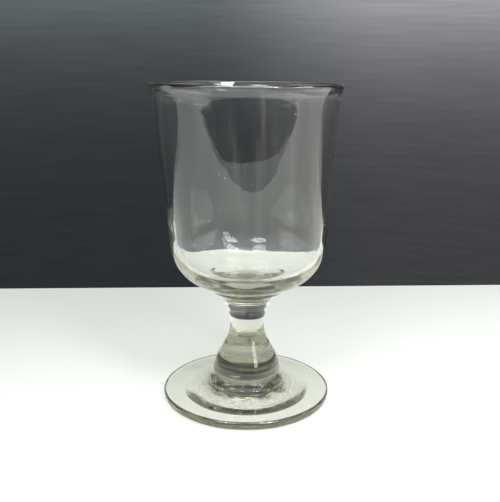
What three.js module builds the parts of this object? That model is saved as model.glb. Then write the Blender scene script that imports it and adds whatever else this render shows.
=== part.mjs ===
import * as THREE from 'three';

// A half-pint rummer: a short-stemmed drinking glass, blown and tooled by hand from five
// gathers of soda glass that were fused while hot. Millimetres, +Z up. The glass stands on
// the plane z = 0 with its axis on Z, and each gather is turned as a closed profile.

// Driving dimensions of the foot
const footRadius = 37.6;
const footHeight = 10.2;
const footEdgeHeight = 4.6;
const footEdgeLift = 0.7;
const footEdgeRounding = 1.15;
const footEdgeUnderRounding = 1.7;
const footDome = 0.9;
const bossRadius = 16.6;
const bossDraft = 0.4;
const bossEdgeHeight = 8.45;
const bossSkirtHeight = 6.8;
const bossSkirtWidth = 4.2;
const heelInnerRadius = 19.6;
const heelWidth = 2.5;
const grooveRadius = 28.25;
const grooveDepth = 1.15;
const kickHeight = 1.1;

// Driving dimensions of the pontil scar, a bead of broken glass under the foot
const scarRadius = 7.2;
const scarDepth = 0.7;
const scarBevel = 0.5;

// Driving dimensions of the stem
const stemLength = 34.2;
const stemBaseRadius = 13.5;
const knopRadius = 15.15;
const knopHeight = 3;
const waistRadius = 7.8;
const waistHeight = 23.6;
const stemTopRadius = 9.9;

// Driving dimensions of the merese, the pad that joins the stem to the bowl
const mereseHeight = 8.1;
const mereseRadius = 17.6;
const mereseEdgeHeight = 1.6;
const mereseEdgeRadius = 16.4;

// Driving dimensions of the bowl
const bowlHeight = 87.5;
const rimRadius = 40.5;
const rimFlare = 1;
const lipThickness = 1.8;
const shoulderRadius = 34.6;
const shoulderHeight = 25.4;
const shoulderWall = 2.7;
const bowlBaseThickness = 4.6;

// Shape numbers without a unit
const bowlFullnessShare = 2.55;
const cavityFullnessShare = 3;
const wallPowerShare = 4;
const rimFlarePowerShare = 10;
const stemFlarePowerShare = 2.6;
const mereseFlarePowerShare = 1.8;
const kickPowerShare = 1.2;
const groovePowerShare = 1.75;
const skirtPowerShare = 1.3;
const turnSteps = 64;
const scarTurnSteps = 32;

// Heights at which the gathers meet, each on a flat disc
const stemFootZ = footHeight;
const mereseFootZ = stemFootZ + stemLength;
const bowlFootZ = mereseFootZ + mereseHeight;

const glassColor = 0xc9cdbd;
const scarColor = 0xb4b09f;

function clearGlass(color, roughness) {
  return new THREE.MeshStandardMaterial({
    color,
    roughness,
    metalness: 0,
    transparent: true,
    opacity: 0.35,
  });
}

// Points from one share of a span to another, both ends included
function sampled(count, pointAt) {
  const points = [];
  for (let step = 0; step <= count; step += 1) {
    points.push(pointAt(step / count));
  }
  return points;
}

// An arc of a profile, with angles measured from +radius towards +Z
function arc(centreRadius, centreZ, radius, startAngle, endAngle, count) {
  return sampled(count, (share) => {
    const angle = startAngle + (endAngle - startAngle) * share;
    return new THREE.Vector2(
      centreRadius + radius * Math.cos(angle),
      centreZ + radius * Math.sin(angle),
    );
  });
}

// Turns a profile into a closed gather. The profile runs from the axis at the bottom,
// outwards and up, and back to the axis.
function turned(name, profile, baseZ, material, steps = turnSteps) {
  const geometry = new THREE.LatheGeometry(profile, steps);
  // The lathe turns about +Y, so the piece is stood up with its axis on +Z.
  geometry.rotateX(Math.PI / 2);
  const mesh = new THREE.Mesh(geometry, material);
  mesh.name = name;
  mesh.position.z = baseZ;
  return mesh;
}

// Foot: a thick disc that stands on a heel ring, with a raised boss for the stem
function makeFoot() {
  const heelOuterRadius = heelInnerRadius + heelWidth;
  const underCentreRadius = footRadius - footEdgeUnderRounding;
  const underCentreZ = footEdgeLift + footEdgeUnderRounding;
  const overCentreRadius = footRadius - footEdgeRounding;
  const overCentreZ = footEdgeHeight - footEdgeRounding;
  const skirtRadius = bossRadius + bossDraft;
  const skirtFootZ = footEdgeHeight + footDome;
  const profile = [
    new THREE.Vector2(0, kickHeight),
    // The hollow for the pontil scar sinks to the heel ring in a shallow cone.
    ...sampled(4, (share) => new THREE.Vector2(
      scarRadius + (heelInnerRadius - scarRadius) * share,
      kickHeight * (1 - share ** kickPowerShare),
    )),
    // A shallow groove runs outside the heel ring, and the edge stays just off the table.
    ...sampled(4, (share) => new THREE.Vector2(
      heelOuterRadius + (grooveRadius - heelOuterRadius) * share,
      grooveDepth * share ** groovePowerShare,
    )),
    ...arc(underCentreRadius, underCentreZ, footEdgeUnderRounding, -Math.PI / 2, 0, 3),
    ...arc(overCentreRadius, overCentreZ, footEdgeRounding, 0, Math.PI / 2, 3),
    // The flat rises a little to the skirt, which climbs to the boss in a hollow curve.
    ...sampled(5, (share) => new THREE.Vector2(
      skirtRadius + bossSkirtWidth * (1 - share),
      skirtFootZ + (bossSkirtHeight - skirtFootZ) * share ** skirtPowerShare,
    )),
    new THREE.Vector2(bossRadius, bossEdgeHeight),
    new THREE.Vector2(stemBaseRadius, footHeight),
    new THREE.Vector2(0, footHeight),
  ];
  return turned('foot', profile, 0, clearGlass(glassColor, 0.08));
}

// Pontil scar: what stayed on the foot when the finishing rod was cracked off
function makePontilScar() {
  const profile = [
    new THREE.Vector2(0, 0),
    new THREE.Vector2(scarRadius - scarBevel, 0),
    new THREE.Vector2(scarRadius, scarDepth),
    new THREE.Vector2(0, scarDepth),
  ];
  const scarZ = kickHeight - scarDepth;
  return turned('pontil_scar', profile, scarZ, clearGlass(scarColor, 0.6), scarTurnSteps);
}

// Stem: a heavy knop that draws in to a waist and spreads again under the merese
function makeStem() {
  const knopToWaist = waistHeight - knopHeight;
  const profile = [
    new THREE.Vector2(0, 0),
    ...sampled(3, (share) => new THREE.Vector2(
      stemBaseRadius + (knopRadius - stemBaseRadius) * Math.sin(share * Math.PI / 2),
      knopHeight * share,
    )),
    ...sampled(9, (share) => new THREE.Vector2(
      waistRadius + (knopRadius - waistRadius) * (1 + Math.cos(share * Math.PI)) / 2,
      knopHeight + knopToWaist * share,
    )).slice(1),
    ...sampled(5, (share) => new THREE.Vector2(
      waistRadius + (stemTopRadius - waistRadius) * share ** stemFlarePowerShare,
      waistHeight + (stemLength - waistHeight) * share,
    )).slice(1),
    new THREE.Vector2(0, stemLength),
  ];
  return turned('stem', profile, stemFootZ, clearGlass(glassColor, 0.05));
}

// Merese: a flared pad with a thin edge under the bowl
function makeMerese() {
  const edgeZ = mereseHeight - mereseEdgeHeight;
  const profile = [
    new THREE.Vector2(0, 0),
    ...sampled(6, (share) => new THREE.Vector2(
      stemTopRadius + (mereseEdgeRadius - stemTopRadius) * share,
      edgeZ * share ** (1 / mereseFlarePowerShare),
    )),
    new THREE.Vector2(mereseRadius, mereseHeight),
    new THREE.Vector2(0, mereseHeight),
  ];
  return turned('merese', profile, mereseFootZ, clearGlass(glassColor, 0.05));
}

// Radius of a full, rounded bottom at a share of its depth below its widest place
function fullBottom(widest, depthShare, fullness) {
  return widest * (1 - depthShare ** fullness) ** (1 / fullness);
}

// Outer radius of the bowl's wall at a share of the way from the shoulder to the lip
function wallRadius(share) {
  const straight = rimRadius - rimFlare - shoulderRadius;
  return shoulderRadius + straight * share + rimFlare * share ** rimFlarePowerShare;
}

// Bowl: a bucket shape with a full bottom, an open cavity and a fire-polished lip
function makeBowl() {
  const lipRadius = lipThickness / 2;
  const lipZ = bowlHeight - lipRadius;
  const wallSpan = lipZ - shoulderHeight;
  const seatShare = (1 - (mereseRadius / shoulderRadius) ** bowlFullnessShare)
    ** (1 / bowlFullnessShare);
  const bottomDepth = shoulderHeight / seatShare;
  const cavityRadius = shoulderRadius - shoulderWall;
  const cavityDepth = shoulderHeight - bowlBaseThickness;

  const outerBottom = sampled(9, (share) => {
    const drop = shoulderHeight * Math.cos(share * Math.PI / 2);
    return new THREE.Vector2(
      fullBottom(shoulderRadius, drop / bottomDepth, bowlFullnessShare),
      shoulderHeight - drop,
    );
  });
  const outerWall = sampled(6, (share) => new THREE.Vector2(
    wallRadius(1 - (1 - share) ** 2),
    shoulderHeight + wallSpan * (1 - (1 - share) ** 2),
  )).slice(1);
  const lip = arc(rimRadius - lipRadius, lipZ, lipRadius, 0, Math.PI, 4).slice(1);
  const innerWall = sampled(6, (share) => {
    const along = (1 - share) ** 2;
    const wall = lipThickness + (shoulderWall - lipThickness) * along ** wallPowerShare;
    return new THREE.Vector2(
      wallRadius(1 - along) - wall,
      shoulderHeight + wallSpan * (1 - along),
    );
  }).reverse().slice(1);
  const innerBottom = sampled(9, (share) => {
    const drop = cavityDepth * Math.sin(share * Math.PI / 2);
    return new THREE.Vector2(
      share < 1 ? fullBottom(cavityRadius, drop / cavityDepth, cavityFullnessShare) : 0,
      shoulderHeight - drop,
    );
  }).slice(1);

  const profile = [
    new THREE.Vector2(0, 0),
    ...outerBottom,
    ...outerWall,
    ...lip,
    ...innerWall,
    ...innerBottom,
  ];
  return turned('bowl', profile, bowlFootZ, clearGlass(glassColor, 0.04));
}

const rummer = new THREE.Group();
rummer.add(
  makeFoot(),
  makePontilScar(),
  makeStem(),
  makeMerese(),
  makeBowl(),
);

export default rummer;
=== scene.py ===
import math

import bmesh
import bpy
import numpy as np
from mathutils import Matrix, Vector


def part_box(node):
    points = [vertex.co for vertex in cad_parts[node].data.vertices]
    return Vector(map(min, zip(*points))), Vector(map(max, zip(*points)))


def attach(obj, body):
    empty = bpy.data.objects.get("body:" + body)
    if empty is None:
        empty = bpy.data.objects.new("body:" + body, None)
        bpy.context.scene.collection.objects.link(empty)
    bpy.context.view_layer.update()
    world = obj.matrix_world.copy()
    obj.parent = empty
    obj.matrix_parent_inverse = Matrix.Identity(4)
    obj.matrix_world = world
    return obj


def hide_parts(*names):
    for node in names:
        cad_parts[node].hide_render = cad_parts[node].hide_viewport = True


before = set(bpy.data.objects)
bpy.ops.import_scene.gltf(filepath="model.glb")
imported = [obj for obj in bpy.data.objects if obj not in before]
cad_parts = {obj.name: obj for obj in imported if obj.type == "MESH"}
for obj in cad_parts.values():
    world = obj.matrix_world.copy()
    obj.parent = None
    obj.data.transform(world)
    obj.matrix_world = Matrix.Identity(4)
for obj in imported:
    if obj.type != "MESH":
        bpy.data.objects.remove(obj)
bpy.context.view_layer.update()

# A half-pint rummer of greyish soda glass, blown and tooled by hand. It stands on a pale
# table in front of a charcoal backdrop. Lengths are millimetres, unless a note says otherwise.

mm = 0.001
# Light reflects many times inside the foot and the thick bottom of the bowl.
bounces = 24
scene = bpy.context.scene
scene.view_settings.view_transform = "Standard"
scene.cycles.max_bounces = bounces
scene.cycles.transmission_bounces = bounces
scene.cycles.glossy_bounces = bounces
scene.cycles.transparent_max_bounces = bounces
print("frame loaded:", sorted(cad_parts))

# Camera, placed first: in front of the glass, looking down at it a little. Angles in degrees
cameraSpec = {
    "distance": 297.85,
    "height": 146.32,
    "pitch": 14.728,
    "yaw": 0.262,
    "roll": 0.35,
    "lens": 50.13,
    "sensor": 36,
    "nearest": 10,
    "farthest": 20000,
}


def makeCamera(spec):
    data = bpy.data.cameras.new("photoCamera")
    data.lens = spec["lens"]
    data.sensor_width = spec["sensor"]
    data.clip_start = spec["nearest"] * mm
    data.clip_end = spec["farthest"] * mm
    camera = bpy.data.objects.new("photoCamera", data)
    scene.collection.objects.link(camera)
    pitch, yaw, roll = (math.radians(spec[key]) for key in ("pitch", "yaw", "roll"))
    ahead = Vector((
        math.sin(yaw) * math.cos(pitch),
        math.cos(yaw) * math.cos(pitch),
        -math.sin(pitch),
    ))
    level = ahead.cross(Vector((0, 0, 1))).normalized()
    upright = level.cross(ahead)
    right = level * math.cos(roll) + upright * math.sin(roll)
    up = upright * math.cos(roll) - level * math.sin(roll)
    turn = Matrix((right, up, -ahead)).transposed().to_4x4()
    place = Matrix.Translation((0, -spec["distance"] * mm, spec["height"] * mm))
    camera.matrix_world = place @ turn
    return camera


scene.camera = makeCamera(cameraSpec)
print("camera placed")


class Wire:
    # One socket of a node tree. Arithmetic on it adds Math nodes, and node() adds any other.
    def __init__(self, tree, socket=None):
        self.tree = tree
        self.socket = socket

    def node(self, kind, settings=None, inputs=None, output=0):
        made = self.tree.nodes.new(kind)
        for name, value in (settings or {}).items():
            setattr(made, name, value)
        for name, value in (inputs or {}).items():
            if isinstance(value, Wire):
                self.tree.links.new(value.socket, made.inputs[name])
            else:
                made.inputs[name].default_value = value
        return Wire(self.tree, made.outputs[output] if made.outputs else None)

    def beside(self, output):
        return Wire(self.tree, self.socket.node.outputs[output])

    def maths(self, operation, *values):
        return self.node("ShaderNodeMath", {"operation": operation}, dict(enumerate(values)))

    def __add__(self, other):
        return self.maths("ADD", self, other)

    def __sub__(self, other):
        return self.maths("SUBTRACT", self, other)

    def __rsub__(self, other):
        return self.maths("SUBTRACT", other, self)

    def __mul__(self, other):
        return self.maths("MULTIPLY", self, other)

    __radd__ = __add__
    __rmul__ = __mul__

    def least(self, other):
        return self.maths("MINIMUM", self, other)

    def most(self, other):
        return self.maths("MAXIMUM", self, other)

    def ramp(self, low, high):
        # 0 below low, 1 above high, eased between them
        settings = {"interpolation_type": "SMOOTHSTEP", "clamp": True}
        inputs = {"Value": self, "From Min": low, "From Max": high}
        return self.node("ShaderNodeMapRange", settings, inputs)

    def band(self, rise, fall):
        # 1 between a rise and a fall, each given by the values where it starts and ends
        return self.ramp(*rise) * (1 - self.ramp(*fall))

    def tint(self, first, second):
        # The first colour where this value is 0, and the second where it is 1
        return self.node(
            "ShaderNodeMix", {"data_type": "RGBA"}, {0: self, 6: first, 7: second}, 2
        )

    def stretched(self, scale):
        settings = {"operation": "MULTIPLY"}
        return self.node("ShaderNodeVectorMath", settings, {0: self, 1: scale})

    def length(self):
        return self.node("ShaderNodeVectorMath", {"operation": "LENGTH"}, {0: self}, "Value")

    def vector(self):
        # This value in all three places of a vector
        return self.node("ShaderNodeCombineXYZ", None, {axis: self for axis in range(3)})

    def noise(self, grain):
        # Noise at this place. Where the grain has levels, it is cut to 0 and 1 beyond them.
        place = self.stretched(grain["stretch"]) if "stretch" in grain else self
        made = self.node("ShaderNodeTexNoise", None, {
            "Vector": place,
            "Scale": grain["scale"],
            "Detail": grain["detail"],
            "Roughness": grain["roughness"],
        })
        return made.ramp(*grain["levels"]) if "levels" in grain else made

    def cells(self, scale):
        # Distance from the middle of the nearest of many scattered cells
        inputs = {"Vector": self, "Scale": scale}
        return self.node("ShaderNodeTexVoronoi", {"feature": "F1"}, inputs)

    def dots(self, grain):
        # Round dots in the middle of a few cells, chosen by one channel of their colours
        cells = self.cells(grain["scale"])
        inputs = {0: cells.beside("Color")}
        chance = self.node("ShaderNodeSeparateColor", None, inputs, grain["channel"])
        return (1 - cells.ramp(*grain["edge"])) * chance.ramp(*grain["chosen"])


def metres(lengths):
    return [length * mm for length in lengths]


def startMaterial(name):
    material = bpy.data.materials.new(name)
    material.use_nodes = True
    material.node_tree.nodes.clear()
    return material, Wire(material.node_tree)


def makeWaves(seed, count, turns, drift):
    # Smooth hand-made unevenness: a few waves round the glass that drift with height
    rng = np.random.default_rng(seed)
    rounds = rng.integers(turns[0], turns[1] + 1, count)
    drifts = rng.uniform(-drift, drift, count)
    starts = rng.uniform(0, 2 * math.pi, count)

    def waves(angle, along):
        total = 0
        for around, rise, start in zip(rounds, drifts, starts):
            total = total + np.cos(around * angle + rise * along + start)
        return total / math.sqrt(count / 2)

    return waves


def eased(value, low, high):
    share = np.clip((value - low) / (high - low), 0, 1)
    return share * share * (3 - 2 * share)


def sizeOf(node):
    # Width and height of a CAD node, to a thousandth of a millimetre
    low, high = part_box(node)
    return [round((high[axis] - low[axis]) / mm, 3) for axis in (0, 2)]


footWidth, footHeight = sizeOf("foot")
stemWidth, stemLength = sizeOf("stem")
mereseWidth, mereseHeight = sizeOf("merese")
bowlWidth, bowlHeight = sizeOf("bowl")
scarWidth = sizeOf("pontil_scar")[0]
mereseFoot = footHeight + stemLength
bowlFoot = mereseFoot + mereseHeight

# The glass itself: the gathers fused into one body. Its overall sizes are the frame's.
glassSpec = {
    # Foot: the hollow, the heel ring, the groove, the edge and the boss
    "kickHeight": 1.12,
    "kickFlatRadius": 3.3,
    "kickPower": 1.38,
    "heelInnerRadius": 19.6,
    "heelOuterRadius": 22.1,
    "grooveRadius": 28.25,
    "grooveDepth": 1.15,
    "groovePower": 1.75,
    "edgeLift": 0.71,
    "edgeUnderRounding": 1.7,
    "edgeTopRounding": 1.15,
    "edgeTopHeight": 4.62,
    "footRadius": footWidth / 2,
    "footDome": 0.88,
    "bossRadius": 16.6,
    "bossEdgeHeight": 8.45,
    "bossFootRadius": 17,
    "bossSkirtHeight": 6.8,
    "bossSkirtWidth": 4.2,
    "bossSkirtPower": 1.28,
    # Stem and merese
    "stemBaseRadius": 13.5,
    "knopRadius": stemWidth / 2,
    "knopHeight": 3,
    "waistRadius": 7.8,
    "waistHeight": 23.6,
    "stemTopRadius": 9.9,
    "stemTopPower": 2.6,
    "mereseRadius": mereseWidth / 2,
    "mereseEdgeHeight": 1.6,
    "mereseEdgeRadius": 16.4,
    "meresePower": 1.8,
    # Bowl
    "bowlFullness": 2.55,
    "shoulderRadius": 34.6,
    "shoulderHeight": 25.4,
    "shoulderWall": 2.7,
    "wallPower": 4,
    "rimRadius": bowlWidth / 2,
    "rimFlare": 1,
    "rimFlarePower": 28,
    "lipThickness": 1.8,
    "lipRoll": 0.15,
    "lipRollDepth": 2,
    "lipRollWidth": 1.1,
    "bowlBaseThickness": 4.6,
    "cavityFullness": 3,
    "cavityDip": 0.3,
    "cavityDipRadius": 9,
    # How finely curves are traced. Points closer than this count as one
    "samples": 60,
    "wallSamples": 400,
    "closest": 1e-6,
    "spacing": 0.1,
    # How far fire polishing rounds corners, and how much further it goes at the shoulder
    "softening": 0.35,
    "shoulderSoftening": 4,
    "shoulderReach": 13,
    "softeningSpan": 4,
    # The lathe's rings lie this far apart at most, or turn by these degrees at most
    "longestStep": 1.6,
    "sharpestTurn": 6,
    "sides": 192,
}

# How far hand work left the glass from true
handSpec = {
    "bowlWave": 0.06,
    "insideWave": 0.06,
    "striae": 0.006,
    "lipWander": 0.35,
    "rimOval": 0.2,
    "rimOvalTurn": 0.5,
    "rimTilt": 0.2,
    "knopRings": 0.035,
    "knopRingPitch": 2.6,
    "knopRingDrift": 0.5,
    "footSwell": 0.35,
    "footSwellSide": 155,
    "footWave": 0.05,
    "underWave": 0.02,
    "scarWave": 0.015,
    # Where each kind of work starts and where it is full: heights, radii, depths under the
    # top of the lip, and for the underside how far down the surface faces
    "bowlRise": 20,
    "footHeights": (5, 9),
    "stemRise": (9, 13),
    "stemFall": (40, 50),
    "underside": (0.5, 0.9),
    "scarRadii": (12, 21),
    "steadyRadii": (1, 12),
    "swellRadii": (20, 37),
    "ovalRadius": 15,
    "lipRise": (7, 3),
    "lipFall": (1.8, 0.6),
    # How far the middle wanders sideways at each height
    "midlineHeights": (0, 10, 20, 45, 55, 75, 90, 110, 141),
    "midlineShifts": (0, 0, 0.15, 0.25, 0.45, 0.5, 0.2, -0.3, -0.6),
}

# Waves: a seed, how many, the fewest and most turns round the glass, and the drift per mm
waveSpecs = {
    "outer": (11, 9, (2, 7), 0.11),
    "inner": (23, 9, (2, 8), 0.11),
    "outerStriae": (31, 14, (16, 46), 0.03),
    "innerStriae": (47, 14, (16, 46), 0.03),
    "foot": (53, 8, (2, 9), 0.2),
    "under": (67, 10, (3, 14), 0.4),
    "scar": (69, 14, (3, 22), 1.2),
    "rings": (61, 5, (1, 3), 0.3),
    "lip": (97, 7, (2, 9), 0),
}


# The outlines below are lists of (radius, height), traced at even shares of each curve.

def between(first, last, share):
    return first + (last - first) * share


def fullBottom(widest, drop, fullness):
    # Radius of a full, rounded bottom at a share of its depth below its widest place
    return widest * max(0, 1 - drop ** fullness) ** (1 / fullness)


def footOutline(spec, even):
    # From the axis over the hollow, the heel ring and the groove, and round the edge
    quarter = even * math.pi / 2
    lift, under = spec["edgeLift"], spec["edgeUnderRounding"]
    edgeTop, over = spec["edgeTopHeight"], spec["edgeTopRounding"]
    underCentre, overCentre = spec["footRadius"] - under, spec["footRadius"] - over
    flatTop = edgeTop + spec["footDome"]
    hollow = [(
        between(spec["kickFlatRadius"], spec["heelInnerRadius"], share),
        spec["kickHeight"] * (1 - share ** spec["kickPower"]),
    ) for share in even]
    groove = [(
        between(spec["heelOuterRadius"], spec["grooveRadius"], share),
        spec["grooveDepth"] * share ** spec["groovePower"],
    ) for share in even]
    edgeUnder = [(
        underCentre + under * math.sin(angle),
        lift + under * (1 - math.cos(angle)),
    ) for angle in quarter]
    edgeOver = [(
        overCentre + over * math.cos(angle),
        edgeTop - over * (1 - math.sin(angle)),
    ) for angle in quarter]
    skirt = [(
        spec["bossFootRadius"] + spec["bossSkirtWidth"] * (1 - share),
        between(flatTop, spec["bossSkirtHeight"], share ** spec["bossSkirtPower"]),
    ) for share in even]
    middle, bossEdge = (0, spec["kickHeight"]), (spec["bossRadius"], spec["bossEdgeHeight"])
    return [middle, *hollow, *groove, *edgeUnder, *edgeOver, *skirt, bossEdge]


def stemOutline(spec, even):
    # The knop, the waist and the flare above it
    knopFoot = [(
        between(spec["stemBaseRadius"], spec["knopRadius"], math.sin(share * math.pi / 2)),
        footHeight + spec["knopHeight"] * share,
    ) for share in even]
    knop = [(
        between(spec["waistRadius"], spec["knopRadius"], (1 + math.cos(share * math.pi)) / 2),
        footHeight + between(spec["knopHeight"], spec["waistHeight"], share),
    ) for share in even[1:]]
    flare = [(
        between(spec["waistRadius"], spec["stemTopRadius"], share ** spec["stemTopPower"]),
        footHeight + between(spec["waistHeight"], stemLength, share),
    ) for share in even[1:]]
    return [*knopFoot, *knop, *flare]


def mereseOutline(spec, even):
    # The flare that ends in a thin edge
    return [(
        between(spec["stemTopRadius"], spec["mereseEdgeRadius"], share ** spec["meresePower"]),
        mereseFoot + (mereseHeight - spec["mereseEdgeHeight"]) * share,
    ) for share in even[1:]]


def bowlOutlines(spec, even):
    # The outside from the merese up and over the lip, and the inside down to the axis
    shoulder = bowlFoot + spec["shoulderHeight"]
    seatShare = spec["mereseRadius"] / spec["shoulderRadius"]
    depth = spec["shoulderHeight"] / fullBottom(1, seatShare, spec["bowlFullness"])
    lip = spec["lipThickness"] / 2
    span = bowlHeight - lip - spec["shoulderHeight"]
    straight = spec["rimRadius"] - spec["rimFlare"] - spec["shoulderRadius"]
    thicker = spec["shoulderWall"] - spec["lipThickness"]
    cavity = spec["shoulderRadius"] - spec["shoulderWall"]
    cavityDepth = spec["shoulderHeight"] - spec["bowlBaseThickness"]

    def outerBottom(share):
        drop = math.cos(share * math.pi / 2)
        below = spec["shoulderHeight"] * drop / depth
        reach = fullBottom(spec["shoulderRadius"], below, spec["bowlFullness"])
        return reach, bowlFoot + spec["shoulderHeight"] * (1 - drop)

    def wall(share):
        flare = spec["rimFlare"] * share ** spec["rimFlarePower"]
        return spec["shoulderRadius"] + straight * share + flare

    def lipRoll(share):
        # The glass that the tool gathered into a soft roll inside the lip
        below = span * share - spec["lipRollDepth"]
        return spec["lipRoll"] * math.exp(-(below / spec["lipRollWidth"]) ** 2)

    def innerBottom(share):
        drop = math.sin(share * math.pi / 2)
        reach = fullBottom(cavity, drop, spec["cavityFullness"])
        dip = spec["cavityDip"] * math.exp(-(reach / spec["cavityDipRadius"]) ** 2)
        return reach, shoulder - cavityDepth * drop - dip

    bottom = [outerBottom(share) for share in even]
    outerWall = [(wall(share), shoulder + span * share) for share in even[1:]]
    rim = [(
        spec["rimRadius"] - lip + lip * math.cos(angle),
        bowlFoot + bowlHeight - lip + lip * math.sin(angle),
    ) for angle in even[1:] * math.pi]
    innerWall = [(
        wall(1 - share) - spec["lipThickness"] - thicker * share ** spec["wallPower"] - lipRoll(share),
        shoulder + span * (1 - share),
    ) for share in np.linspace(0, 1, spec["wallSamples"])[1:]]
    cavityBottom = [innerBottom(share) for share in even[1:]]
    return [*bottom, *outerWall, *rim], [*innerWall, *cavityBottom]


def turnedProfile(spec):
    # The raw outline from the axis under the foot to the bottom of the cavity, and for each
    # point 1 where it is inside the bowl
    even = np.linspace(0, 1, spec["samples"])
    bowlOutside, bowlInside = bowlOutlines(spec, even)
    below = footOutline(spec, even) + stemOutline(spec, even) + mereseOutline(spec, even)
    outside = below + bowlOutside
    inside = [0.0] * len(outside) + [1.0] * len(bowlInside)
    return np.array(outside + bowlInside), np.array(inside)


def softProfile(spec):
    # Evens the outline out, rounds its corners as fire polishing does, and keeps only
    # the points that its curves need
    points, inside = turnedProfile(spec)
    steps = np.hypot(*np.diff(points, axis=0).T)
    keep = np.concatenate(([True], steps > spec["closest"]))
    points, inside = points[keep], inside[keep]
    along = np.concatenate(([0], np.cumsum(np.hypot(*np.diff(points, axis=0).T))))
    even = np.arange(0, along[-1], spec["spacing"])
    radius, height, inside = (
        np.interp(even, along, values) for values in (points[:, 0], points[:, 1], inside)
    )

    def smoothed(values, mirror, softening):
        # A weighted mean, with the outline mirrored beyond its two ends
        width = int(spec["softeningSpan"] * softening / spec["spacing"])
        reach = np.arange(-width, width + 1) * spec["spacing"]
        weights = np.exp(-0.5 * (reach / softening) ** 2)
        ends = (mirror * values[width:0:-1], values, mirror * values[-2:-width - 2:-1])
        return np.convolve(np.concatenate(ends), weights / weights.sum(), "valid")

    # The shoulder of the bowl rounds over more widely than the edges do
    shoulder = bowlFoot + spec["shoulderHeight"]
    nearShoulder = np.exp(-((height - shoulder) / spec["shoulderReach"]) ** 4)
    radius, height = (
        (1 - nearShoulder) * smoothed(values, mirror, spec["softening"])
        + nearShoulder * smoothed(values, mirror, spec["shoulderSoftening"])
        for values, mirror in ((radius, -1), (height, 1))
    )
    radius[0] = radius[-1] = 0
    slope = np.unwrap(np.arctan2(np.gradient(height), np.gradient(radius)))
    bend = np.concatenate(([0], np.abs(np.diff(slope))))
    load = np.cumsum(
        spec["spacing"] / spec["longestStep"] + bend / math.radians(spec["sharpestTurn"])
    )
    count = int(load[-1] - load[0]) + 1
    spots = np.arange(len(load))
    picks = np.interp(np.linspace(load[0], load[-1], count), load, spots)
    outline = {"radius": radius, "height": height, "inside": inside, "slope": slope}
    profile = {name: np.interp(picks, spots, values) for name, values in outline.items()}
    profile["radius"][0] = profile["radius"][-1] = 0
    return profile


def handShaped(profile, spec, hand):
    # Places every ring of the lathe and pushes its points off true
    waves = {name: makeWaves(*values) for name, values in waveSpecs.items()}
    angle = np.arange(spec["sides"])[None, :] / spec["sides"] * 2 * math.pi
    radius, height, slope, inside = (
        profile[name][1:-1, None] for name in ("radius", "height", "slope", "inside")
    )
    inside = eased(inside, 0, 1)
    outwards, upwards = np.sin(slope), -np.cos(slope)
    top = bowlFoot + bowlHeight
    onBowl = eased(height, bowlFoot, bowlFoot + hand["bowlRise"])
    onFoot = 1 - eased(height, *hand["footHeights"])
    onStem = eased(height, *hand["stemRise"]) * (1 - eased(height, *hand["stemFall"]))
    underside = onFoot * eased(-upwards, *hand["underside"])
    nearScar = underside * (1 - eased(radius, *hand["scarRadii"]))

    outerPush = (
        hand["bowlWave"] * waves["outer"](angle, height)
        + hand["striae"] * waves["outerStriae"](angle, height)
    )
    innerPush = (
        hand["insideWave"] * waves["inner"](angle, height)
        + hand["striae"] * waves["innerStriae"](angle, height)
    )
    push = onBowl * ((1 - inside) * outerPush + inside * innerPush)
    push = push + onFoot * hand["footWave"] * waves["foot"](angle, height) * np.abs(outwards)
    push = push + underside * hand["underWave"] * waves["under"](angle, radius)
    push = push + nearScar * hand["scarWave"] * waves["scar"](angle, radius)
    ringTurn = hand["knopRingDrift"] * waves["rings"](angle, height)
    rings = np.sin(2 * math.pi * height / hand["knopRingPitch"] + ringTurn)
    push = push + onStem * hand["knopRings"] * rings
    push = push * eased(radius, *hand["steadyRadii"])

    swell = onFoot * hand["footSwell"] * eased(radius, *hand["swellRadii"])
    swell = swell * np.clip(np.cos(angle - math.radians(hand["footSwellSide"])), 0, 1) ** 2
    rise = np.clip(height - bowlFoot, 0, None) / bowlHeight
    oval = hand["rimOval"] * rise ** 2 * np.cos(2 * angle - hand["rimOvalTurn"])
    across = radius + outwards * push + swell + oval * (radius > hand["ovalRadius"])
    shift = np.interp(height, hand["midlineHeights"], hand["midlineShifts"])
    x = across * np.cos(angle) + shift
    y = across * np.sin(angle)
    nearLip = inside * eased(height, *(top - depth for depth in hand["lipRise"]))
    nearLip = nearLip * (1 - eased(height, *(top - depth for depth in hand["lipFall"])))
    wander = hand["lipWander"] * nearLip * waves["lip"](angle, 0)
    z = height + upwards * push + wander - hand["rimTilt"] * rise ** 2 * np.cos(angle)
    z = np.maximum(z, 0)
    return np.stack((x, y, z), axis=-1) * mm


def closeRings(name, bottom, rings, top):
    # One closed mesh: a fan at each end and bands of four-sided faces between the rings
    count, sides = rings.shape[:2]
    verts = [tuple(bottom)] + [tuple(v) for v in rings.reshape(-1, 3)] + [tuple(top)]
    last = len(verts) - 1
    faces = []
    for j in range(sides):
        k = (j + 1) % sides
        faces.append((0, 1 + k, 1 + j))
        for i in range(count - 1):
            low, high = 1 + i * sides, 1 + (i + 1) * sides
            faces.append((low + j, low + k, high + k, high + j))
        edge = 1 + (count - 1) * sides
        faces.append((edge + j, edge + k, last))
    mesh = bpy.data.meshes.new(name)
    mesh.from_pydata(verts, [], faces)
    mesh.validate()
    mesh.polygons.foreach_set("use_smooth", [True] * len(mesh.polygons))
    mesh.update()
    made = bpy.data.objects.new(name, mesh)
    scene.collection.objects.link(made)
    return made


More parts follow.
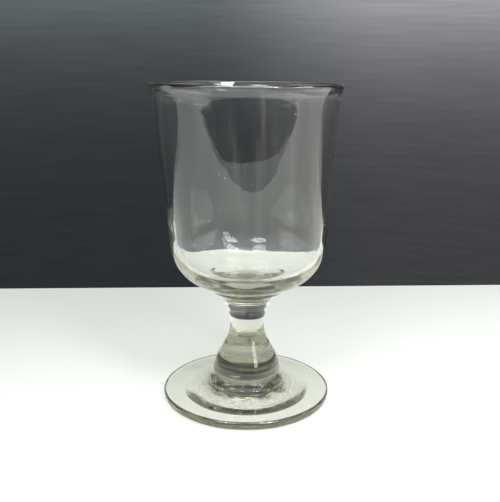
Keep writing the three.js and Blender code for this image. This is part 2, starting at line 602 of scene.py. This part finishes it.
# The metal: a grey-olive soda glass, darkest where it is thickest. Scales of noise and cells
# are counts per metre, reliefs are depths, and a pair is where a change starts and is full.
glassLook = {
    "refraction": 1.52,
    "absorbed": (0.6, 0.6, 0.5, 1),
    "absorption": 46,
    "shadow": (0.87, 0.88, 0.86, 1),
    # A film from handling, in soft upright smears
    "film": {"stretch": (1, 1, 0.25), "scale": 70, "detail": 4, "roughness": 0.6,
             "levels": (0.42, 0.8)},
    "clean": (0.995, 1, 0.995, 1),
    "smeared": (0.955, 0.96, 0.94, 1),
    "filmRoughness": 0.012,
    # Wear where the foot rubs on the table
    "scratches": {"stretch": (1, 0.12, 1), "scale": 1400, "detail": 3, "roughness": 0.7,
                  "levels": (0.45, 0.62)},
    "rubHeights": (0.1, 0.7),
    "wearRoughness": 0.3,
    "wearRelief": 0.02,
    # Turned marks that the tools left on the stem, the boss and the foot
    "toolMarks": {"stretch": (0.1, 0.1, 1), "scale": 330, "detail": 2, "roughness": 0.5,
                  "levels": (0.3, 0.7)},
    "tooledRise": (5.5, 9),
    "tooledFall": (44, 52),
    "toolRelief": 0.035,
    # Grit where the knop was stuck to the boss
    "specks": {"scale": 650, "detail": 1, "roughness": 0.5, "levels": (0.5, 0.62)},
    "jointRise": (6.2, 7.4),
    "jointFall": (10.2, 11),
    "speckRelief": 0.03,
    # Drawn cords in the metal, fine ripples and a few seeds
    "cords": {"stretch": (1, 1, 0.06), "scale": 260, "detail": 2, "roughness": 0.45},
    "cordRelief": 0.02,
    "ripples": {"scale": 90, "detail": 2, "roughness": 0.5},
    "rippleRelief": 0.05,
    "seeds": {"scale": 190, "edge": (0.012, 0.04), "channel": "Red", "chosen": (0.8, 0.82)},
    "seedRelief": 0.03,
    # Chalky bruises in a ring round the pontil scar, where the foot was ground on a stone
    "bruises": {"scale": 420, "detail": 5, "roughness": 0.75, "levels": (0.42, 0.6)},
    "bruiseRise": (12, 15),
    "bruiseFall": (21, 22.5),
    "bruiseHeights": (0.6, 1.2),
    "bruiseShare": 0.5,
    "chalk": (0.8, 0.77, 0.71, 1),
    # Dried water streaks and a few grains of dust on the bowl
    "hazeHeights": (66, 80),
    "streaks": {"stretch": (1, 1, 0.03), "scale": 200, "detail": 2, "roughness": 0.5,
                "levels": (0.52, 0.7)},
    "streakHaze": 0.035,
    "filmHaze": 0.01,
    "dust": {"scale": 150, "edge": (0.035, 0.06), "channel": "Green", "chosen": (0.8, 0.82)},
    "dustHaze": 0.7,
}


def makeGlassMaterial(look):
    material, tree = startMaterial("oldSodaGlass")
    place = tree.node("ShaderNodeTexCoord", output="Object")
    height = tree.node("ShaderNodeSeparateXYZ", None, {0: place}, "Z")
    reach = place.stretched((1, 1, 0)).length()

    film = place.noise(look["film"])
    wear = (1 - height.ramp(*metres(look["rubHeights"]))) * place.noise(look["scratches"])
    tooled = height.band(metres(look["tooledRise"]), metres(look["tooledFall"]))
    joint = height.band(metres(look["jointRise"]), metres(look["jointFall"]))
    surface = (
        place.noise(look["cords"]) * look["cordRelief"]
        + place.noise(look["ripples"]) * look["rippleRelief"]
        + place.dots(look["seeds"]) * look["seedRelief"]
        + wear * look["wearRelief"]
        + tooled * place.noise(look["toolMarks"]) * look["toolRelief"]
        + joint * place.noise(look["specks"]) * look["speckRelief"]
    )
    normal = tree.node("ShaderNodeBump", None, {
        "Strength": 1.0,
        "Distance": mm,
        "Height": surface,
    })
    glass = tree.node("ShaderNodeBsdfPrincipled", None, {
        "Base Color": film.tint(look["clean"], look["smeared"]),
        "Roughness": wear * look["wearRoughness"] + film * look["filmRoughness"],
        "IOR": look["refraction"],
        "Transmission Weight": 1.0,
        "Normal": normal,
    })

    bruised = reach.band(metres(look["bruiseRise"]), metres(look["bruiseFall"]))
    bruised = bruised * (1 - height.ramp(*metres(look["bruiseHeights"])))
    bruised = bruised * place.noise(look["bruises"]) * look["bruiseShare"]
    haze = height.ramp(*metres(look["hazeHeights"])) * (
        place.noise(look["streaks"]) * look["streakHaze"]
        + film * look["filmHaze"]
        + place.dots(look["dust"]) * look["dustHaze"]
    )
    chalk = tree.node("ShaderNodeBsdfDiffuse", None, {"Color": look["chalk"]})
    glass = tree.node("ShaderNodeMixShader", None, {0: bruised.most(haze), 1: glass, 2: chalk})

    # Lamps light what stands under and behind the glass straight through it
    rays = tree.node("ShaderNodeLightPath", output="Is Shadow Ray")
    straight = rays.most(rays.beside("Is Diffuse Ray"))
    lampLight = tree.node("ShaderNodeBsdfTransparent", None, {"Color": look["shadow"]})
    glass = tree.node("ShaderNodeMixShader", None, {0: straight, 1: glass, 2: lampLight})
    body = tree.node("ShaderNodeVolumeAbsorption", None, {
        "Color": look["absorbed"],
        "Density": look["absorption"],
    })
    tree.node("ShaderNodeOutputMaterial", None, {"Surface": glass, "Volume": body})
    return material


def makeGlass(spec, hand, look):
    profile = softProfile(spec)
    rings = handShaped(profile, spec, hand)
    bottom = (0, 0, profile["height"][0] * mm)
    top = (0, 0, profile["height"][-1] * mm)
    glass = closeRings("rummerGlass", bottom, rings, top)
    glass.data.materials.append(makeGlassMaterial(look))
    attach(glass, "root")
    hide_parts("foot", "stem", "merese", "bowl")
    print("glass:", len(profile["radius"]), "rings,", len(glass.data.polygons), "faces")


makeGlass(glassSpec, handSpec, glassLook)

# Pontil scar: a jagged bead of broken glass in the middle of the underside
scarSpec = {
    "radius": scarWidth / 2,
    "top": 0.99,
    "shoulder": 0.8,
    "bevelShare": 0.97,
    "bottom": 0.35,
    "lowest": 0.1,
    "dish": 0.2,
    "rings": 26,
    "sides": 96,
    # The broken face: fine grains on flakes that a few rings share, calm at the middle
    "seed": 71,
    "jag": 0.2,
    "grains": 0.35,
    "flakes": 0.6,
    "flakeSeed": 80,
    "flakeCount": 6,
    "flakeRings": 3,
    "flakeTurns": (2, 11),
    "calm": 4,
    "ragged": 0.05,
    "raggedWaves": (73, 8, (3, 15), 0),
    # Its look
    "grit": {"scale": 900, "detail": 4, "roughness": 0.65, "levels": (0.35, 0.65)},
    "facets": 700,
    "gritShare": 0.5,
    "relief": 0.2,
    "reliefStrength": 0.8,
    "smoothest": 0.25,
    "roughening": 0.3,
    "clearness": 0.2,
    "pale": (0.8, 0.79, 0.74, 1),
    "dark": (0.5, 0.49, 0.44, 1),
    # Painted light: the broken face glows a little, so it stays pale in the shade under the glass
    "glow": 0.35,
}


def makeScarMaterial(spec):
    material, tree = startMaterial("brokenGlass")
    place = tree.node("ShaderNodeTexCoord", output="Object")
    grit = place.noise(spec["grit"])
    color = grit.tint(spec["pale"], spec["dark"])
    facets = place.cells(spec["facets"])
    relief = grit * spec["gritShare"] + facets * (1 - spec["gritShare"])
    normal = tree.node("ShaderNodeBump", None, {
        "Strength": spec["reliefStrength"],
        "Distance": spec["relief"] * mm,
        "Height": relief,
    })
    broken = tree.node("ShaderNodeBsdfPrincipled", None, {
        "Base Color": color,
        "Roughness": grit * spec["roughening"] + spec["smoothest"],
        "IOR": glassLook["refraction"],
        "Transmission Weight": spec["clearness"],
        # Painted light: a faint glow in the grit's own colour
        "Emission Color": color,
        "Emission Strength": spec["glow"],
        "Normal": normal,
    })
    tree.node("ShaderNodeOutputMaterial", None, {"Surface": broken})
    return material


def makeScar(spec):
    rng = np.random.default_rng(spec["seed"])
    sides, count = spec["sides"], spec["rings"]
    angle = np.arange(sides) / sides * 2 * math.pi
    ragged = 1 + spec["ragged"] * makeWaves(*spec["raggedWaves"])(angle, 0)
    rows = []

    def addRing(share, level):
        reach = spec["radius"] * share * ragged
        rows.append(np.stack((reach * np.cos(angle), reach * np.sin(angle), level), -1))

    for i in range(1, count):
        share = i / count
        depth = spec["bottom"] + spec["dish"] * share ** 2
        seed = spec["flakeSeed"] + i // spec["flakeRings"]
        flakes = makeWaves(seed, spec["flakeCount"], spec["flakeTurns"], 0)
        jag = spec["grains"] * rng.standard_normal(sides) + spec["flakes"] * flakes(angle, 0)
        jag = spec["jag"] * jag * min(1, share * spec["calm"])
        addRing(share, np.clip(depth + jag, spec["lowest"], spec["shoulder"]))
    addRing(1, np.full(sides, spec["shoulder"]))
    addRing(spec["bevelShare"], np.full(sides, spec["top"]))
    bottom, top = (0, 0, spec["bottom"] * mm), (0, 0, spec["top"] * mm)
    scar = closeRings("pontilScar", bottom, np.array(rows) * mm, top)
    scar.data.materials.append(makeScarMaterial(spec))
    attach(scar, "root")
    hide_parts("pontil_scar")
    print("pontil scar:", len(scar.data.polygons), "faces")


makeScar(scarSpec)

# Table: a pale top whose back edge shows behind the glass
tableSpec = {
    # Corners in order, seen from above
    "corners": ((-900, -360), (900, -360), (900, 163), (-330, 163), (-560, 60), (-900, -60)),
    "turn": 2.3,
    "thickness": 20,
    "bevel": 1.5,
    "bevelSteps": 3,
    "color": (0.81, 0.82, 0.785, 1),
    "shaded": (0.565, 0.58, 0.55, 1),
    # Painted shade: the colour fades to the shaded one over these depths, sooner towards the left,
    # where the light falls off
    "fade": (-60, 220),
    "fadeSlant": 0.33,
    "grain": {"scale": 60, "detail": 3, "roughness": 0.5, "levels": (0.3, 0.7)},
    "grainShare": 0.03,
    "grainRelief": 0.2,
    "reliefStrength": 0.2,
    "roughness": 0.6,
    "sheen": 0.2,
    "glow": 0.26,
    "mirrorGlow": 0.5,
}


def makeTableMaterial(spec):
    material, tree = startMaterial("paleTable")
    place = tree.node("ShaderNodeTexCoord", output="Object")
    across = tree.node("ShaderNodeSeparateXYZ", None, {0: place}, "X")
    # Painted shade: the top darkens towards the back and the left, where the lamps light it less
    paintedShade = (across.beside("Y") - across * spec["fadeSlant"]).ramp(*metres(spec["fade"]))
    grain = place.noise(spec["grain"])
    color = paintedShade.tint(spec["color"], spec["shaded"])
    speckled = (grain * spec["grainShare"]).tint(color, spec["shaded"])
    normal = tree.node("ShaderNodeBump", None, {
        "Strength": spec["reliefStrength"],
        "Distance": spec["grainRelief"] * mm,
        "Height": grain,
    })
    top = tree.node("ShaderNodeBsdfPrincipled", None, {
        "Base Color": speckled,
        "Roughness": spec["roughness"],
        "Specular IOR Level": spec["sheen"],
        "Normal": normal,
    })
    # The camera and the glass see the table a little brighter than the lamps light it
    rays = tree.node("ShaderNodeLightPath", output="Is Camera Ray")
    seen = rays.most(rays.beside("Is Transmission Ray"))
    mirrored = rays.beside("Is Glossy Ray")
    strength = (seen * spec["glow"]).most(mirrored * spec["mirrorGlow"])
    glow = tree.node("ShaderNodeEmission", None, {"Color": speckled, "Strength": strength})
    both = tree.node("ShaderNodeAddShader", None, {0: top, 1: glow})
    tree.node("ShaderNodeOutputMaterial", None, {"Surface": both})
    return material


def makeTable(spec):
    builder = bmesh.new()
    top = [builder.verts.new((x * mm, y * mm, 0)) for x, y in spec["corners"]]
    face = builder.faces.new(top)
    raised = bmesh.ops.extrude_face_region(builder, geom=[face])
    for part in raised["geom"]:
        if isinstance(part, bmesh.types.BMVert):
            part.co.z -= spec["thickness"] * mm
    bmesh.ops.recalc_face_normals(builder, faces=builder.faces)
    bmesh.ops.bevel(
        builder, geom=list(builder.edges), offset=spec["bevel"] * mm,
        segments=spec["bevelSteps"], affect="EDGES",
    )
    mesh = bpy.data.meshes.new("paleTable")
    builder.to_mesh(mesh)
    builder.free()
    table = bpy.data.objects.new("paleTable", mesh)
    scene.collection.objects.link(table)
    table.rotation_euler[2] = math.radians(spec["turn"])
    table.data.materials.append(makeTableMaterial(spec))


makeTable(tableSpec)
print("table made")

# Backdrop: a charcoal wall that is lighter towards the top and the right, and the room
# behind the camera. A pair is where a change starts and where it is full, in parts of the
# unit direction in which it is seen, or for an aside, a gap or an edge in their squares.
backdropSpec = {
    "left": (0.024, 0.0275, 0.031, 1),
    "right": (0.045, 0.046, 0.05, 1),
    "glowLeft": (0.036, 0.04, 0.042, 1),
    "glowRight": (0.112, 0.112, 0.117, 1),
    "leftToRight": (-0.08, 0.2),
    # The glow grows upwards as a power of e, up to a limit
    "glowRise": 12,
    "glowLimit": 0.08,
    "brushed": {"stretch": (1, 1, 14), "scale": 14, "detail": 4, "roughness": 0.6},
    "brushedDepth": 0.4,
    "wallTop": (0.08, 0.2),
    "farCeiling": (0.13, 0.133, 0.135, 1),
    "wallSide": (0.0, 0.35),
    "room": (0.035, 0.036, 0.037, 1),
    "ceiling": (0.28, 0.285, 0.285, 1),
    "ceilingRise": (0.2, 0.45),
}

# What only reflected or bent rays meet of the room: a bright ceiling, side walls, two lights
# overhead with a gap between them, a shelf behind and an upright window to the camera's right
roomSpec = {
    "ceiling": {"color": (1.0, 1.01, 1.0, 1), "rise": (0.3, 0.6)},
    "sides": {"color": (2, 2.02, 2, 1), "aside": (0.5, 0.7), "rise": (0.1, 0.2),
              "fall": (0.45, 0.55)},
    "overhead": {"color": (1.8, 1.82, 1.8, 1), "rise": (0.86, 0.93), "gap": (0.003, 0.012)},
    "shelf": {"color": (0.4, 0.4, 0.36, 1), "rise": (0.3, 0.35), "fall": (0.42, 0.47),
              "behind": (0.6, 0.7)},
    "window": {"color": (7, 7.2, 7.4, 1), "rise": (0.28, 0.34), "fall": (0.62, 0.66),
               "slant": 0.74, "edge": (0.016, 0.024), "front": (-0.4, -0.3)},
}


def makeBackdrop(spec, roomLights):
    world = bpy.data.worlds.new("charcoalBackdrop")
    scene.world = world
    world.use_nodes = True
    world.node_tree.nodes.clear()
    tree = Wire(world.node_tree)
    way = tree.node("ShaderNodeTexCoord", output="Generated")
    across = tree.node("ShaderNodeSeparateXYZ", None, {0: way}, "X")
    back, height = across.beside("Y"), across.beside("Z")

    toRight = across.ramp(*spec["leftToRight"])
    base = toRight.tint(spec["left"], spec["right"])
    upper = toRight.tint(spec["glowLeft"], spec["glowRight"])
    glow = tree.maths("EXPONENT", height.least(spec["glowLimit"]) * spec["glowRise"])
    lit = tree.node(
        "ShaderNodeVectorMath", {"operation": "MULTIPLY_ADD"}, {0: upper, 1: glow.vector(), 2: base}
    )
    brushed = way.noise(spec["brushed"]) * spec["brushedDepth"] + (1 - spec["brushedDepth"] / 2)
    wall = height.ramp(*spec["wallTop"]).tint(lit.stretched(brushed.vector()), spec["farCeiling"])

    glossy = tree.node("ShaderNodeLightPath", output="Is Glossy Ray")
    bent = glossy.beside("Is Transmission Ray")
    inGlass = glossy.most(bent)
    ceiling, sides, overhead, shelf, window = roomLights.values()
    room = height.ramp(*spec["ceilingRise"]).tint(spec["room"], spec["ceiling"])
    room = (height.ramp(*ceiling["rise"]) * inGlass).tint(room, ceiling["color"])
    shown = back.ramp(*spec["wallSide"]).tint(room, wall)

    lit = (across * across).ramp(*sides["aside"]) * height.band(sides["rise"], sides["fall"])
    shown = (lit * bent).tint(shown, sides["color"])
    lit = height.ramp(*overhead["rise"]) * (across * across).ramp(*overhead["gap"])
    shown = (lit * inGlass).tint(shown, overhead["color"])
    lit = height.band(shelf["rise"], shelf["fall"]) * back.ramp(*shelf["behind"])
    shown = (lit * bent).tint(shown, shelf["color"])
    offset = across + back * window["slant"]
    lit = (1 - (offset * offset).ramp(*window["edge"])) * (1 - back.ramp(*window["front"]))
    lit = lit * height.band(window["rise"], window["fall"])
    shown = (lit * glossy).tint(shown, window["color"])
    light = tree.node("ShaderNodeBackground", None, {"Color": shown, "Strength": 1.0})
    tree.node("ShaderNodeOutputWorld", None, {"Surface": light})


makeBackdrop(backdropSpec, roomSpec)
print("backdrop made")

# Lamps: one wide soft light overhead and two small soft boxes in front
lampSpecs = {
    "overhead": {"at": (120, 160, 1100), "to": (0, 20, 0), "size": (620, 620),
                 "watts": 2.2, "color": (1, 1, 1)},
    "boxLeft": {"at": (-330, -720, 940), "to": (0, 0, 70), "size": (450, 420),
                "watts": 6.6, "color": (0.9, 0.97, 1)},
    "boxRight": {"at": (430, -660, 940), "to": (0, 0, 70), "size": (270, 520),
                 "watts": 9.6, "color": (1, 1, 1)},
}


def makeLamp(name, spec):
    data = bpy.data.lights.new(name, "AREA")
    data.shape = "ELLIPSE"
    data.size, data.size_y = metres(spec["size"])
    data.energy = spec["watts"]
    data.color = spec["color"]
    lamp = bpy.data.objects.new(name, data)
    scene.collection.objects.link(lamp)
    place = Vector(spec["at"]) * mm
    lamp.location = place
    lamp.rotation_euler = (Vector(spec["to"]) * mm - place).to_track_quat("-Z", "Y").to_euler()


for lampName, lampSpec in lampSpecs.items():
    makeLamp(lampName, lampSpec)
print("lamps hung")

bpy.context.view_layer.update()
